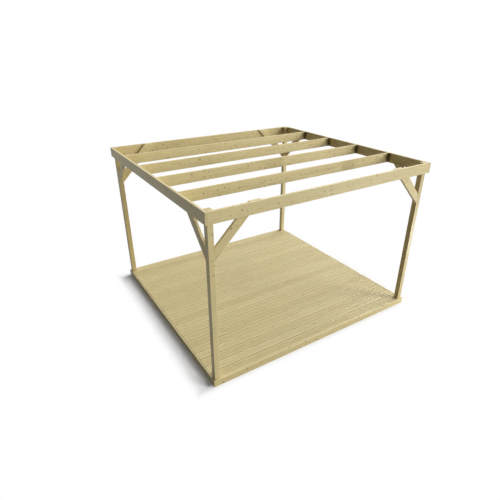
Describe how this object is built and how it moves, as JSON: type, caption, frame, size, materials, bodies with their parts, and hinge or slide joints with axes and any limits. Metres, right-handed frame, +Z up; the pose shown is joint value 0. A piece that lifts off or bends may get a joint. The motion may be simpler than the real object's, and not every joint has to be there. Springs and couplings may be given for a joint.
{
  "type": "pergola with decking",
  "caption": "Open garden pergola on its own timber deck, with corner posts, a roof ring with level rafters, knee braces, and grooved boards on joists.",
  "frame": {"origin": "on the ground, under the middle of the deck and of the roof ring", "axes": "+X along the front beam to the right, +Y from the front to the back, +Z up"},
  "size_m": [3.6, 3.428, 2.39],
  "materials": {
    "frame_timber": "planed, pressure treated",
    "deck_timber": "planed, pressure treated",
    "edge_timber": "planed, pressure treated",
    "joist_timber": "sawn, pressure treated"
  },
  "bodies": {
    "root": {"front_left_post": "frame_timber", "front_right_post": "frame_timber", "back_left_post": "frame_timber", "back_right_post": "frame_timber", "front_beam": "frame_timber", "back_beam": "frame_timber", "left_beam": "frame_timber", "right_beam": "frame_timber", "rafter_1": "frame_timber", "rafter_2": "frame_timber", "rafter_3": "frame_timber", "rafter_4": "frame_timber", "front_beam_left_brace": "frame_timber", "front_beam_right_brace": "frame_timber", "back_beam_left_brace": "frame_timber", "back_beam_right_brace": "frame_timber", "left_beam_front_brace": "frame_timber", "left_beam_back_brace": "frame_timber", "right_beam_front_brace": "frame_timber", "right_beam_back_brace": "frame_timber", "front_fascia": "edge_timber", "back_fascia": "edge_timber", "left_fascia": "edge_timber", "right_fascia": "edge_timber", "front_rim_joist": "joist_timber", "back_rim_joist": "joist_timber", "left_rim_joist": "joist_timber", "right_rim_joist": "joist_timber", "inner_joists": "joist_timber", "front_board": "deck_timber", "deck_boards": "deck_timber", "back_board": "deck_timber"}
  },
  "joints": []
}
